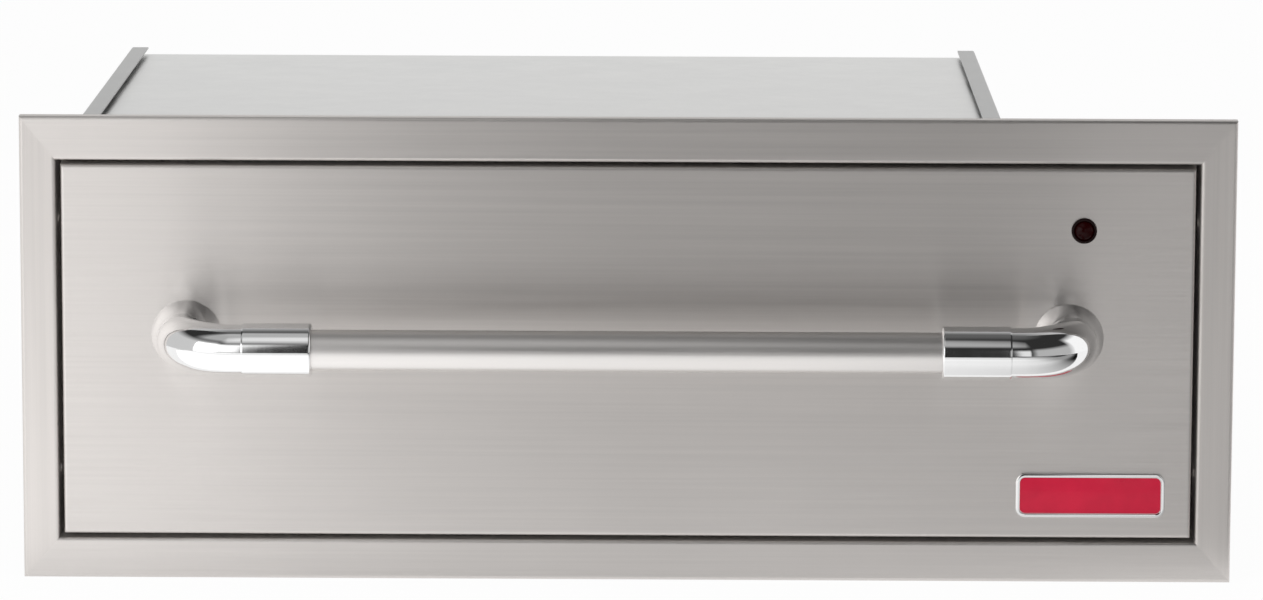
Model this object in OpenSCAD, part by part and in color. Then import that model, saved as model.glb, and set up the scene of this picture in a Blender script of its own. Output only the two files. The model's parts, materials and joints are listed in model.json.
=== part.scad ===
// Built-in warming drawer. Millimetres, +X right, +Y into the cabinet, +Z up.
// The origin is the middle of the cut-out, in the plane of the cabinet's face.

/* [Trim frame] */
// Overall width of the mitred trim frame
frame_w = 762; // [740:1:900]
// Overall height of the trim frame
frame_h = 294; // [290:1:340]
// How far the trim's face stands off the cabinet's face
frame_proud = 12; // [9:0.5:18]
// Face width of the left and right stiles
stile_w = 22.5; // [16:0.5:30]
// Face width of the top rail
top_rail_w = 27.5; // [20:0.5:30]
// Face width of the bottom rail
bottom_rail_w = 25.5; // [20:0.5:28]
// Thickness of the trim's sheet
frame_sheet = 1.2; // [0.8:0.1:1.5]
// Width of the hem that lies on the cabinet's face
frame_hem = 8; // [5:0.5:12]
// How far the trim's jambs reach into the cut-out
jamb_depth = 20; // [18:0.5:40]
// Width of the ledge at the back of each jamb
ledge_w = 10; // [6:0.5:11]
// Radius of the trim's bends, at the middle of the sheet
frame_bend = 1.6; // [1:0.1:2]
// Diameter of the fixing holes in the jambs
jamb_hole_d = 5.2; // [4:0.1:6]
// Height between the two fixing holes in each jamb
jamb_hole_gap = 160; // [80:5:180]

/* [Housing] */
// Width of the housing behind the trim
housing_w = 600; // [560:1:610]
// Height of the housing, without its seams
housing_h = 242; // [220:1:244]
// Depth of the housing behind the cabinet's face
housing_depth = 521; // [510:1:620]
// Sideways offset of the housing from the middle of the trim
housing_offset = -58; // [-60:1:-50]
// Thickness of the housing's sheets
shell_sheet = 1; // [0.8:0.1:1.2]
// Height of the seams along the top
seam_h = 5; // [3:0.5:10]
// Width of the seams along the top
seam_w = 12; // [8:0.5:20]
// Width of the flanges that join the housing's sheets
shell_flange = 8; // [5:0.5:9]
// Thickness of the front plate behind the drawer front
plate_sheet = 1.2; // [0.8:0.1:2]
// Distance from the liner to the shell
jacket = 20; // [18:0.5:25]
// Thickness of the liner's sheets
liner_sheet = 1; // [0.6:0.1:1.2]

/* [Drawer] */
// Gap between the drawer front and the trim
front_gap = 3; // [2:0.1:4]
// How far the drawer front reaches behind the cabinet's face
front_back = 16; // [12:0.5:17]
// Thickness of the drawer front's skin
skin_sheet = 1.2; // [0.8:0.1:1.5]
// Outer radius along the edges of the drawer front
skin_radius = 2.2; // [1.8:0.1:4]
// Thickness of the drawer's other sheets
drawer_sheet = 1; // [0.8:0.1:1.5]
// Width of the flanges that the pan's rim rests on
pan_seat = 14; // [10:0.5:16]
// Height of the drawer's sides above the slides' middle
side_above = 56; // [40:1:64]
// Depth of the drawer's sides below the slides' middle
side_below = 55; // [30:1:60]
// Height of the slides' middle above the middle of the trim
slide_z = 10; // [0:1:16]
// How far the drawer slides out
drawer_travel = 440; // [420:1:445]

/* [Pan] */
// Depth of the pan below its rim
pan_depth = 140; // [60:1:144]
// Corner radius of the pan, seen from above
pan_corner = 40; // [25:1:60]
// Radius between the pan's wall and its floor
pan_foot = 18; // [8:1:22]
// Thickness of the pan's sheet
pan_sheet = 0.8; // [0.6:0.1:1.2]
// How far the pan's wall leans in from rim to floor
pan_draft = 5; // [0:0.5:10]

/* [Slides] */
// Length of each slide member
slide_len = 450; // [430:1:460]
// Height of the slides
slide_h = 45.6; // [44:0.1:48]
// Width of the slides, from liner to drawer
slide_w = 12.7; // [12.6:0.1:14]
// Thickness of the slide members
slide_sheet = 1.2; // [1:0.05:1.25]
// Diameter of the outer balls
outer_ball_d = 4.76; // [4.5:0.01:4.9]
// Diameter of the inner balls
inner_ball_d = 4; // [3.6:0.01:4.1]
// Running clearance between a ball and its tracks
ball_play = 0.15; // [0.1:0.01:0.2]
// Length of the ball cages
cage_len = 200; // [160:1:210]
// Thickness of the ball cages
cage_sheet = 0.4; // [0.3:0.05:0.5]
// Balls in each row
balls = 6; // [4:1:8]

/* [Handle] */
// Diameter of the handle's tube
tube_d = 25.4; // [20:0.1:28]
// Wall of the handle's tube
tube_wall = 1.5; // [1:0.1:3]
// Distance from the drawer front to the tube's axis
handle_standoff = 55; // [50:0.5:70]
// Height of the tube's axis above the middle of the trim
handle_z = 9; // [-20:0.5:30]
// Distance from the drawer's middle to each leg
leg_x = 277; // [240:1:290]
// Diameter of the sleeves round the tube's ends
sleeve_d = 33; // [30:0.5:36]
// Length of each sleeve
sleeve_len = 43; // [30:0.5:50]
// Distance from a leg's middle to the sleeve's outer end
sleeve_reach = 39; // [34:0.5:50]
// Centreline radius of the bracket's elbow
elbow_r = 27; // [20:0.5:30]
// Diameter of each leg
leg_d = 28; // [24:0.5:32]
// Diameter of each leg's foot
foot_d = 38; // [34:0.5:44]
// Diameter of the handle's bolts
bolt_d = 8; // [6:0.5:10]

/* [Controls] */
// Diameter of the indicator lens
lens_d = 13; // [10:0.5:16]
// Height of the indicator lens above the middle of the trim
lens_z = 77.5; // [60:0.5:80]
// Sideways place of the lens from the middle of the control window
lens_shift = -14; // [-16:0.5:10]
// Height of the thermostat knob above the middle of the trim
knob_z = -5; // [-20:0.5:5]
// Diameter of the thermostat knob's skirt
knob_d = 44; // [30:0.5:56]
// Diameter of the thermostat's shaft
shaft_d = 6; // [5:0.1:6.4]
// Depth of the control window
window_depth = 30; // [28:0.5:40]
// Depth of the control housing behind the cabinet's face
control_depth = 200; // [180:1:260]
// Diameter of the heating element
element_d = 8; // [6:0.1:9]
// Bend radius of the heating element
element_bend = 30; // [20:1:36]
// Bore of the supply cable's gland
gland_bore_d = 10; // [6:0.5:13]

/* [Hidden] */
$fn = 48;
overcut = 1;

// trim and its opening
face_y = -frame_proud;
opening_l = -frame_w/2 + stile_w;
opening_r = frame_w/2 - stile_w;
opening_t = frame_h/2 - top_rail_w;
opening_b = -frame_h/2 + bottom_rail_w;
jamb_hole_y = 8;
mitre_reach = 2;

// housing
cx = housing_offset;
shell_l = cx - housing_w/2;
shell_r = cx + housing_w/2;
shell_t = housing_h/2;
shell_b = -housing_h/2;
plate_back = jamb_depth + plate_sheet;
flange_back = plate_back + shell_sheet;
bend_play = 0.7*shell_sheet;
screw_d = 4;
screw_head_d = 7.6;
screw_head_h = 2.2;
louvre_w = 70;
louvre_pitch = 14;
louvre_h = 5;
louvre_out = 3;
louvres = 6;

// cavity inside the liner
cav_l = shell_l + shell_sheet + jacket + liner_sheet;
cav_r = shell_r - shell_sheet - jacket - liner_sheet;
cav_t = shell_t - shell_sheet - jacket - liner_sheet;
cav_b = -cav_t;
cav_back = housing_depth - shell_sheet - jacket - liner_sheet;

// drawer front
front_l = opening_l + front_gap;
front_r = opening_r - front_gap;
front_t = opening_t - front_gap;
front_b = opening_b + front_gap;
skin_back = face_y + skin_sheet;
panel_flange = 12;
gasket_w = 6;
gasket_inset = 1.5;
gasket_gap = 0.2;

// slide members, as centrelines in a section: u from the liner to the drawer, v up
slide_y = plate_back + 3;
slide_end = slide_y + slide_len;
slide_mid = slide_y + slide_len/2;
half_sheet = slide_sheet/2;
track_a = outer_ball_d/2 + ball_play + half_sheet;
track_b = inner_ball_d/2 + ball_play + half_sheet;
ball_a = [half_sheet + track_a, slide_h/2 - half_sheet - track_a];
middle_web = slide_sheet + 0.87 + half_sheet;
track_turn = 30;
track_leave = 270 + track_turn;
middle_step = 0.5;
rise = [cos(track_leave + 90), sin(track_leave + 90)];
leave_a = ball_a + track_a*[cos(track_leave), sin(track_leave)];
ball_b = leave_a + middle_step*rise - track_b*[cos(track_leave - 180), sin(track_leave - 180)];
inner_web = slide_w - half_sheet;
slide_corner = 0.8;
cage_a_u = slide_sheet + 0.435;
cage_b_u = middle_web + half_sheet + 0.41;
finger_play = 1.2;
first_screw_in = 150;
last_screw_in = 14;

// release levers on the inner members
lever_y = slide_y + 56;
lever_len = 36;
lever_tail = 12;
lever_w = 7;
lever_t = 2.3;
lever_gap = 0.3;
lever_pin_d = 4;
lever_bore_play = 0.05;

// drawer box
side_l = cav_l + slide_w;
side_r = cav_r - slide_w;
box_l = side_l + drawer_sheet;
box_r = side_r - drawer_sheet;
box_t = slide_z + side_above;
box_b = slide_z - side_below;
box_back = drawer_travel + face_y;
rim_bend = 2.4;
seat_play = rim_bend;
pan_l = box_l + pan_seat + seat_play;
pan_r = box_r - pan_seat - seat_play;
pan_front = front_back + pan_seat + seat_play + drawer_sheet;
pan_back = box_back - drawer_sheet - pan_seat - seat_play;
pan_top = box_t + pan_sheet;
pan_floor = pan_top - pan_depth;
pan_rim = pan_seat;
rail_h = 46;

// handle
tube_y = face_y - handle_standoff;
sleeve_out = leg_x - sleeve_reach;
sleeve_in = sleeve_out - sleeve_len;
sleeve_chamfer = 1;
shoulder = 0.8;
elbow_root = 1.5;
tube_end = sleeve_out - 4;
tube_play = 0.1;
elbow_sides = 28;
elbow_steps = 14;
leg_steps = 8;
flare_h = 9;
thread_depth = 22;
bolt_head_d = 14.5;
bolt_head_h = 5.3;
washer_h = 1.6;
washer_d = 20;
grub_d = 5;

// controls
window_l = shell_r + 10;
window_r = opening_r - ledge_w - 1;
window_t = lens_z + 30;
window_b = knob_z - 45;
control_x = (window_l + window_r)/2;
tray_sheet = 1;
tray_back = jamb_depth + window_depth;
lens_x = control_x + lens_shift;
lens_stem_d = lens_d - 3.2;
bezel_d = lens_d + 3;
lamp_d = 9;
knob_front = tray_back - 24;
knob_back = tray_back - 4;
thermostat_w = 42;
thermostat_h = 45;
thermostat_depth = 34;
shaft_play = 0.05;
control_r = opening_r - 1.5;
control_t = window_t + 3;
control_b = shell_b + 20;
control_flange = 10;

// heating element and bulb, on the cavity's floor
element_z = cav_b + 11;
lead_y = [62, 122];
element_l = cav_l + 36;
element_r = cav_r - 50;
element_inner_l = element_l + 80;
element_back = 440;
element_pitch = 80;
lead_out = shell_r + 8;
collar_d = element_d + 4;
collar_out = shell_r + 14;
stud_d = 4;
clip_sheet = 1;
clip_play = 0.3;
clip_w = 12;
clip_foot = 8;
clip_bend = 1.2;
element_clip_in = 60;
bulb_clip_in = 15;
bulb_d = 6;
capillary_d = 2;
bulb_y = [166, 246];
bulb_z = cav_b + 29;
bulb_x = cav_r - 8;
capillary_bend = 6;

gland_x = control_x;
gland_z = control_b + 40;
gland_d = 20;
gland_nut_d = 27;

steel = [0.78, 0.78, 0.77];
dull_steel = [0.62, 0.62, 0.61];
zinc = [0.55, 0.57, 0.6];

// ---------- geometry helpers ----------

function unit(v) = v/norm(v);
function turn_left(v) = [-v[1], v[0]];
function angle_of(v) = atan2(v[1], v[0]);
function mirror_v(path) = [for (p = path) [p[0], -p[1]]];
function backwards(path) = [for (i = [len(path)-1:-1:0]) path[i]];
function swapped(path) = [for (p = backwards(path)) [p[1], p[0]]];

// points of an arc, from one angle to another
function arc(centre, r, from, to, steps) =
    [for (i = [0:steps]) centre + r*[cos(from + (to - from)*i/steps), sin(from + (to - from)*i/steps)]];

// the corner at b of the path a-b-c, rounded to radius r
function rounded(a, b, c, r, steps = 4) =
    let (to_a = unit(a - b), to_c = unit(c - b),
         half = acos(to_a*to_c)/2,
         centre = b + unit(to_a + to_c)*r/sin(half),
         start = angle_of(b + to_a*r/tan(half) - centre),
         side = to_a[0]*to_c[1] - to_a[1]*to_c[0] > 0 ? -1 : 1)
    arc(centre, r, start, start + side*(180 - 2*half), steps);

// a path with every inner corner rounded
function bent(path, r, steps = 4) = [
    path[0],
    for (i = [1:len(path) - 2]) each rounded(path[i-1], path[i], path[i+1], r, steps),
    path[len(path) - 1]
];

// the outline of a sheet of thickness t along a path at the middle of the sheet
function side_points(path, t, side) = [
    for (i = [0:len(path) - 1])
        let (before = i == 0 ? path[1] - path[0] : path[i] - path[i-1],
             after = i == len(path) - 1 ? before : path[i+1] - path[i],
             normal = unit(turn_left(unit(before)) + turn_left(unit(after))))
        path[i] + side*normal*t/2/(normal*turn_left(unit(before)))
];
module sheet(path, t) {
    polygon(concat(side_points(path, t, 1), backwards(side_points(path, t, -1))));
}

// extrude a section along one axis: (y, z) along X, (x, z) along Y
module along_x(from, to) {
    translate([from, 0, 0]) rotate([90, 0, 90]) linear_extrude(to - from) children();
}
module along_y(from, to) {
    translate([0, to, 0]) rotate([90, 0, 0]) linear_extrude(to - from) children();
}
module block(from, to) {
    translate(from) cube(to - from);
}
module rod_x(from, to, y, z, d) {
    translate([from, y, z]) rotate([0, 90, 0]) cylinder(h = to - from, d = d);
}
module rod_y(from, to, x, z, d) {
    translate([x, from, z]) rotate([-90, 0, 0]) cylinder(h = to - from, d = d);
}
module rod_z(from, to, x, y, d) {
    translate([x, y, from]) cylinder(h = to - from, d = d);
}
// the right-hand copy of what is drawn on the left of the housing
module on_side(side) {
    if (side == "left") children();
    else translate([2*cx, 0, 0]) mirror([1, 0, 0]) children();
}
// the left-hand copy of what is drawn on the right of the drawer front
module on_end(side) {
    mirror([side == "left" ? 1 : 0, 0, 0]) children();
}

// a round bar or tube along straight runs and bends
module pipe(path, d, bend) {
    last = len(path) - 1;
    function setback(i) = i == 0 || i == last ? 0
        : bend/tan(acos(unit(path[i-1] - path[i])*unit(path[i+1] - path[i]))/2);
    for (i = [0:last - 1]) {
        along = unit(path[i+1] - path[i]);
        run(path[i] + along*setback(i), path[i+1] - along*setback(i+1), d);
    }
    for (i = [1:last - 1]) elbow(path[i-1], path[i], path[i+1], d, bend);
}
module run(from, to, d) {
    z = unit(to - from);
    x = unit(abs(z[2]) < 0.9 ? cross(z, [0, 0, 1]) : cross(z, [1, 0, 0]));
    in_axes(from, x, cross(z, x), z) cylinder(h = norm(to - from), d = d);
}
module elbow(a, b, c, d, bend) {
    to_a = unit(a - b);
    to_c = unit(c - b);
    half = acos(to_a*to_c)/2;
    centre = b + unit(to_a + to_c)*bend/sin(half);
    x = unit(b + to_a*bend/tan(half) - centre);
    z = unit(cross(x, b + to_c*bend/tan(half) - centre));
    in_axes(centre, x, cross(z, x), z)
        rotate_extrude(angle = 180 - 2*half) translate([bend, 0]) circle(d = d);
}
module in_axes(at, x, y, z) {
    multmatrix([[x[0], y[0], z[0], at[0]], [x[1], y[1], z[1], at[1]], [x[2], y[2], z[2], at[2]]])
        children();
}

// ---------- trim frame ----------

// the folded section of a rail whose outer edge is at 0 and whose face is face_w wide
function rail_path(face_w) = bent([
    [-frame_sheet/2, frame_hem],
    [-frame_sheet/2, frame_sheet/2],
    [face_y + frame_sheet/2, frame_sheet/2],
    [face_y + frame_sheet/2, face_w - frame_sheet/2],
    [jamb_depth - frame_sheet/2, face_w - frame_sheet/2],
    [jamb_depth - frame_sheet/2, face_w + ledge_w]
], frame_bend);

// the trapezium that a rail's mitred ends leave, as seen from the front
module mitred(from, to, inward_from, inward_to) {
    translate([0, jamb_depth + overcut, 0]) rotate([90, 0, 0])
        linear_extrude(jamb_depth + frame_proud + 2*overcut)
            polygon([from, to, to + mitre_reach*inward_to, from + mitre_reach*inward_from]);
}
corner_tl = [-frame_w/2, frame_h/2];
corner_tr = [frame_w/2, frame_h/2];
corner_bl = [-frame_w/2, -frame_h/2];
corner_br = [frame_w/2, -frame_h/2];
in_tl = [stile_w, -top_rail_w];
in_tr = [-stile_w, -top_rail_w];
in_bl = [stile_w, bottom_rail_w];
in_br = [-stile_w, bottom_rail_w];

module frame_top_rail() color(steel) intersection() {
    translate([0, 0, frame_h/2]) mirror([0, 0, 1])
        along_x(-frame_w/2, frame_w/2) sheet(rail_path(top_rail_w), frame_sheet);
    mitred(corner_tl, corner_tr, in_tl, in_tr);
}
module frame_bottom_rail() color(steel) intersection() {
    translate([0, 0, -frame_h/2])
        along_x(-frame_w/2, frame_w/2) sheet(rail_path(bottom_rail_w), frame_sheet);
    mitred(corner_bl, corner_br, in_bl, in_br);
}
module stile() difference() {
    intersection() {
        translate([-frame_w/2, 0, -frame_h/2]) linear_extrude(frame_h)
            sheet([for (p = rail_path(stile_w)) [p[1], p[0]]], frame_sheet);
        mitred(corner_bl, corner_tl, in_bl, in_tl);
    }
    for (side = [-1, 1])
        rod_x(opening_l - 5, opening_l + 5, jamb_hole_y, side*jamb_hole_gap/2, jamb_hole_d);
}
module frame_left_stile() color(steel) stile();
module frame_right_stile() color(steel) mirror([1, 0, 0]) stile();

// ---------- housing ----------

module front_plate() color(dull_steel) difference() {
    block([opening_l - frame_sheet, jamb_depth, opening_b - frame_sheet],
          [opening_r + frame_sheet, plate_back, opening_t + frame_sheet]);
    block([cav_l, jamb_depth - overcut, cav_b], [cav_r, plate_back + overcut, cav_t]);
    block([window_l, jamb_depth - overcut, window_b], [window_r, plate_back + overcut, window_t]);
}

// the top cover is a tray: its turned-up sides stand inside those of the side panels, under their seams
module shell_top() color(steel) {
    lip_x = shell_sheet*1.5;
    lip_top = shell_t + seam_h - 2*shell_sheet;
    along_y(plate_back, housing_depth) sheet(bent([
        [shell_l + lip_x, lip_top],
        [shell_l + lip_x, shell_t - shell_sheet/2],
        [shell_r - lip_x, shell_t - shell_sheet/2],
        [shell_r - lip_x, lip_top]
    ], shell_sheet), shell_sheet);
    block([shell_l + 2*shell_sheet, plate_back, shell_t - shell_sheet - shell_flange],
          [shell_r - 2*shell_sheet, flange_back, shell_t - shell_sheet/2]);
}
// a side panel: an upright sheet with a foot that carries the base pan, and a seam turned in over the top cover
module shell_side() {
    seam_z = shell_t + seam_h - shell_sheet/2;
    along_y(plate_back, housing_depth) sheet(bent([
        [shell_l + seam_w, seam_z],
        [shell_l + shell_sheet/2, seam_z],
        [shell_l + shell_sheet/2, shell_b + shell_sheet/2],
        [shell_l + 2*shell_flange, shell_b + shell_sheet/2]
    ], shell_sheet), shell_sheet);
    block([shell_l + shell_sheet/2, plate_back, shell_b + 2*shell_sheet + shell_flange],
          [shell_l + shell_sheet + shell_flange, flange_back, shell_t - shell_sheet - shell_flange]);
}
screw_zs = [shell_b + 40, 0, shell_t - 40];
screw_y = housing_depth - 7;
module shell_left() color(steel) difference() {
    shell_side();
    for (z = screw_zs) rod_x(shell_l - overcut, shell_l + 5, screw_y, z, screw_d);
}
module shell_right() color(steel) difference() {
    on_side("right") shell_side();
    for (z = screw_zs) rod_x(shell_r - 5, shell_r + overcut, screw_y, z, screw_d);
    side_holes(shell_r - 5, shell_r + overcut);
}
// where the element's collars and the capillary pass from the cavity to the controls
module side_holes(from, to) {
    for (y = lead_y) rod_x(from, to, y, element_z, collar_d);
    rod_x(from, to, capillary_y, bulb_z, capillary_d + 1);
}
module shell_base() color(dull_steel) {
    from = [shell_l + shell_sheet + bend_play, plate_back, shell_b + shell_sheet];
    right = shell_r - shell_sheet - bend_play;
    block(from, [right, housing_depth - shell_sheet, shell_b + 2*shell_sheet]);
    block(from, [right, flange_back, shell_b + 2*shell_sheet + shell_flange]);
}
module shell_back() color(dull_steel) difference() {
    union() {
        difference() {
            block([shell_l + shell_sheet, housing_depth - panel_flange, shell_b + 2*shell_sheet],
                  [shell_r - shell_sheet, housing_depth, shell_t - shell_sheet]);
            block([shell_l + 2*shell_sheet, housing_depth - panel_flange - overcut, shell_b + 3*shell_sheet],
                  [shell_r - 2*shell_sheet, housing_depth - shell_sheet, shell_t - 2*shell_sheet]);
        }
        for (x = [cx - housing_w/4, cx + housing_w/4], i = [0:louvres - 1])
            louvre(x, louvre_z(i));
    }
    for (x = [cx - housing_w/4, cx + housing_w/4], i = [0:louvres - 1])
        block([x - louvre_w/2, housing_depth - shell_sheet - overcut, louvre_z(i) - louvre_h],
              [x + louvre_w/2, housing_depth + shell_sheet/2, louvre_z(i) - shell_sheet]);
    for (z = screw_zs) {
        rod_x(shell_l, shell_l + 5, screw_y, z, screw_d);
        rod_x(shell_r - 5, shell_r, screw_y, z, screw_d);
    }
}
function louvre_z(i) = (i - (louvres - 1)/2)*louvre_pitch;
// a pressed hood, open below
module louvre(x, z) {
    along_x_from = x - louvre_w/2 - shell_sheet;
    along_x(along_x_from, x + louvre_w/2 + shell_sheet) polygon([
        [housing_depth - shell_sheet/2, z],
        [housing_depth + louvre_out, z - louvre_h],
        [housing_depth + louvre_out - shell_sheet, z - louvre_h],
        [housing_depth - shell_sheet/2, z - 1.6*shell_sheet]
    ]);
}
module shell_screws() color(zinc) {
    for (z = screw_zs, side = ["left", "right"]) on_side(side) {
        rod_x(shell_l, shell_l + 10, screw_y, z, screw_d);
        translate([shell_l, screw_y, z]) rotate([0, -90, 0])
            cylinder(h = screw_head_h, d1 = screw_head_d, d2 = screw_head_d*0.6);
    }
}

// ---------- cavity ----------

module liner_top() color(steel) {
    block([cav_l - liner_sheet, plate_back, cav_t], [cav_r + liner_sheet, cav_back, cav_t + liner_sheet]);
    block([cav_l - liner_sheet, plate_back, cav_t], [cav_r + liner_sheet, flange_back, cav_t + shell_flange]);
}
module liner_base() color(steel) {
    block([cav_l - liner_sheet, plate_back, cav_b - liner_sheet], [cav_r + liner_sheet, cav_back, cav_b]);
    block([cav_l - liner_sheet, plate_back, cav_b - shell_flange], [cav_r + liner_sheet, flange_back, cav_b]);
}
module liner_side() {
    block([cav_l - liner_sheet, plate_back, cav_b], [cav_l, cav_back, cav_t]);
    block([cav_l - shell_flange, plate_back, cav_b], [cav_l, flange_back, cav_t]);
}
module liner_left() color(steel) liner_side();
module liner_right() color(steel) difference() {
    on_side("right") liner_side();
    side_holes(cav_r - overcut, cav_r + liner_sheet + overcut);
}
module liner_back() color(steel)
    block([cav_l - liner_sheet, cav_back, cav_b - liner_sheet],
          [cav_r + liner_sheet, cav_back + liner_sheet, cav_t + liner_sheet]);

wool_l = shell_l + 2*shell_sheet;
wool_r = shell_r - 2*shell_sheet;
wool_back = housing_depth - shell_sheet;
module insulation_top() color("khaki")
    block([wool_l, flange_back, cav_t + liner_sheet], [wool_r, wool_back, shell_t - 2*shell_sheet]);
module insulation_base() color("khaki")
    block([wool_l, flange_back, shell_b + 3*shell_sheet], [wool_r, wool_back, cav_b - liner_sheet]);
module insulation_sides() color("khaki") difference() {
    for (side = ["left", "right"]) on_side(side)
        block([wool_l, flange_back, cav_b - liner_sheet], [cav_l - liner_sheet, wool_back, cav_t + liner_sheet]);
    side_holes(cav_r, shell_r);
    for (z = screw_zs) {
        rod_x(shell_l, shell_l + 12, screw_y, z, screw_d + 1);
        rod_x(shell_r - 12, shell_r, screw_y, z, screw_d + 1);
    }
}
module insulation_back() color("khaki")
    block([cav_l - liner_sheet, cav_back + liner_sheet, cav_b - liner_sheet],
          [cav_r + liner_sheet, wool_back, cav_t + liner_sheet]);

// ---------- heating ----------

element_path = [
    [lead_out, lead_y[0], element_z],
    [element_l, lead_y[0], element_z],
    [element_l, element_back, element_z],
    [element_r, element_back, element_z],
    [element_r, element_back - element_pitch, element_z],
    [element_inner_l, element_back - element_pitch, element_z],
    [element_inner_l, element_back - 2*element_pitch, element_z],
    [element_r, element_back - 2*element_pitch, element_z],
    [element_r, element_back - 3*element_pitch, element_z],
    [element_inner_l, element_back - 3*element_pitch, element_z],
    [element_inner_l, lead_y[1], element_z],
    [lead_out, lead_y[1], element_z]
];
module heating_element() color([0.35, 0.33, 0.32]) pipe(element_path, element_d, element_bend);

module element_terminals() color("white") for (y = lead_y) {
    difference() {
        rod_x(cav_r - 2, collar_out, y, element_z, collar_d);
        rod_x(cav_r - 2 - overcut, lead_out, y, element_z, element_d);
    }
    rod_x(collar_out - 1, collar_out + 10, y, element_z, stud_d);
}

// a saddle clip's section over a bar of diameter d whose axis is at height h above the seat
function saddle_path(d, h) =
    let (r = d/2 + clip_play + clip_sheet/2, seat = clip_sheet/2)
    concat(
        [[-r - clip_foot, seat]],
        rounded([-r - clip_foot, seat], [-r, seat], [-r, h], clip_bend),
        backwards(arc([0, h], r, 0, 180, 10)),
        rounded([r, h], [r, seat], [r + clip_foot, seat], clip_bend),
        [[r + clip_foot, seat]]
    );
module element_clip(x, y) {
    translate([x, y, cav_b]) along_x(-clip_w/2, clip_w/2)
        sheet(saddle_path(element_d, element_z - cav_b), clip_sheet);
}
module bulb_clip(y) {
    translate([cav_r, y, bulb_z]) rotate([0, -90, 0]) along_y(-clip_w/2, clip_w/2)
        sheet(saddle_path(bulb_d, cav_r - bulb_x), clip_sheet);
}
module cavity_clips() color(zinc) {
    for (x = [element_l + element_clip_in, element_r - element_clip_in]) {
        element_clip(x, element_back);
        element_clip(x, lead_y[0]);
    }
    for (y = [bulb_y[0] + bulb_clip_in, bulb_y[1] - bulb_clip_in]) bulb_clip(y);
}

capillary_y = bulb_y[0] - 20;
capillary_x = shell_r + 20;
capillary_path = [
    [control_x - thermostat_w/2, tray_back + 20, knob_z - 10],
    [capillary_x, tray_back + 20, knob_z - 10],
    [capillary_x, capillary_y, knob_z - 10],
    [capillary_x, capillary_y, bulb_z],
    [bulb_x, capillary_y, bulb_z],
    [bulb_x, bulb_y[0], bulb_z]
];
module thermostat_bulb() color([0.72, 0.45, 0.3]) {
    pipe(capillary_path, capillary_d, capillary_bend);
    rod_y(bulb_y[0], bulb_y[1], bulb_x, bulb_z, bulb_d);
}

// ---------- controls ----------

module control_housing() color(dull_steel) difference() {
    union() {
        difference() {
            block([shell_r, plate_back, control_b], [control_r, control_depth, control_t]);
            block([shell_r - overcut, plate_back - overcut, control_b + tray_sheet],
                  [control_r - tray_sheet, control_depth - tray_sheet, control_t - tray_sheet]);
        }
        block([shell_r, control_depth - tray_sheet, control_b],
              [shell_r + tray_sheet, control_depth + control_flange, control_t]);
    }
    rod_y(control_depth - 5, control_depth + 5, gland_x, gland_z, gland_d);
}
// a tray behind the window, which holds the knob clear of the drawer front
module control_plate() color(steel) difference() {
    block([window_l - tray_sheet, plate_back, window_b - tray_sheet],
          [window_r + tray_sheet, tray_back, window_t + tray_sheet]);
    block([window_l, plate_back - overcut, window_b], [window_r, tray_back - tray_sheet, window_t]);
    rod_y(tray_back - 5, tray_back + overcut, control_x, knob_z, bush_d);
    rod_y(tray_back - 5, tray_back + overcut, lens_x, lens_z, lamp_d);
}
bush_d = shaft_d + 4;
module thermostat_body() color("gainsboro") difference() {
    union() {
        block([control_x - thermostat_w/2, tray_back, knob_z - thermostat_h/2],
              [control_x + thermostat_w/2, tray_back + thermostat_depth, knob_z + thermostat_h/2]);
        rod_y(tray_back - 3, tray_back + 2, control_x, knob_z, bush_d);
    }
    rod_y(tray_back - 5, shaft_end + 1, control_x, knob_z, shaft_d + 2*shaft_play);
}
shaft_end = tray_back + 14;
shaft_front = knob_front + 4;
flat_depth = 1.2;
module thermostat_shaft() color(zinc) difference() {
    rod_y(shaft_front, shaft_end, control_x, knob_z, shaft_d);
    block([control_x - shaft_d, shaft_front - overcut, knob_z + shaft_d/2 - flat_depth],
          [control_x + shaft_d, knob_back - 2, knob_z + shaft_d]);
}
// a skirted knob with a fluted grip and a pointer on its skirt
flutes = 18;
module thermostat_knob() color([0.12, 0.12, 0.12]) {
    grip_r = knob_d*0.36;
    difference() {
        translate([control_x, knob_back, knob_z]) rotate([90, 0, 0]) difference() {
            rotate_extrude() polygon([
                [0, 0], [knob_d/2, 0], [knob_d/2, 2], [knob_d/2 - 1.5, 4], [grip_r + 1, 6],
                [grip_r, knob_back - knob_front - 2], [grip_r - 2, knob_back - knob_front],
                [0, knob_back - knob_front]
            ]);
            for (i = [0:flutes - 1]) rotate(360*(i + 0.5)/flutes) translate([grip_r + 1.2, 0, 7])
                cylinder(h = knob_back - knob_front, d = 4);
        }
        difference() {
            rod_y(shaft_front - 0.2, knob_back + overcut, control_x, knob_z, shaft_d + 0.04);
            block([control_x - shaft_d, shaft_front - overcut, knob_z + shaft_d/2 - flat_depth + 0.02],
                  [control_x + shaft_d, knob_back - 2, knob_z + shaft_d]);
        }
    }
    block([control_x - 0.8, knob_back - 4.6, knob_z + grip_r + 0.4],
          [control_x + 0.8, knob_back - 2, knob_z + knob_d/2 - 1]);
}
module indicator_lamp() color("orangered") {
    rod_y(tray_back - 20, tray_back + 24, lens_x, lens_z, lamp_d);
    rod_y(tray_back - tray_sheet - 2, tray_back - tray_sheet, lens_x, lens_z, lamp_d + 4);
}
module terminal_block() color("ivory") difference() {
    block([control_x - 30, 120, control_b + tray_sheet], [control_x + 30, 142, control_b + tray_sheet + 18]);
    for (i = [-1, 0, 1]) {
        rod_z(control_b + 12, control_b + 30, control_x + i*18, 126, 5);
        rod_z(control_b + 12, control_b + 30, control_x + i*18, 136, 5);
        rod_y(119, 143, control_x + i*18, control_b + 9, 4);
    }
}
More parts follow.
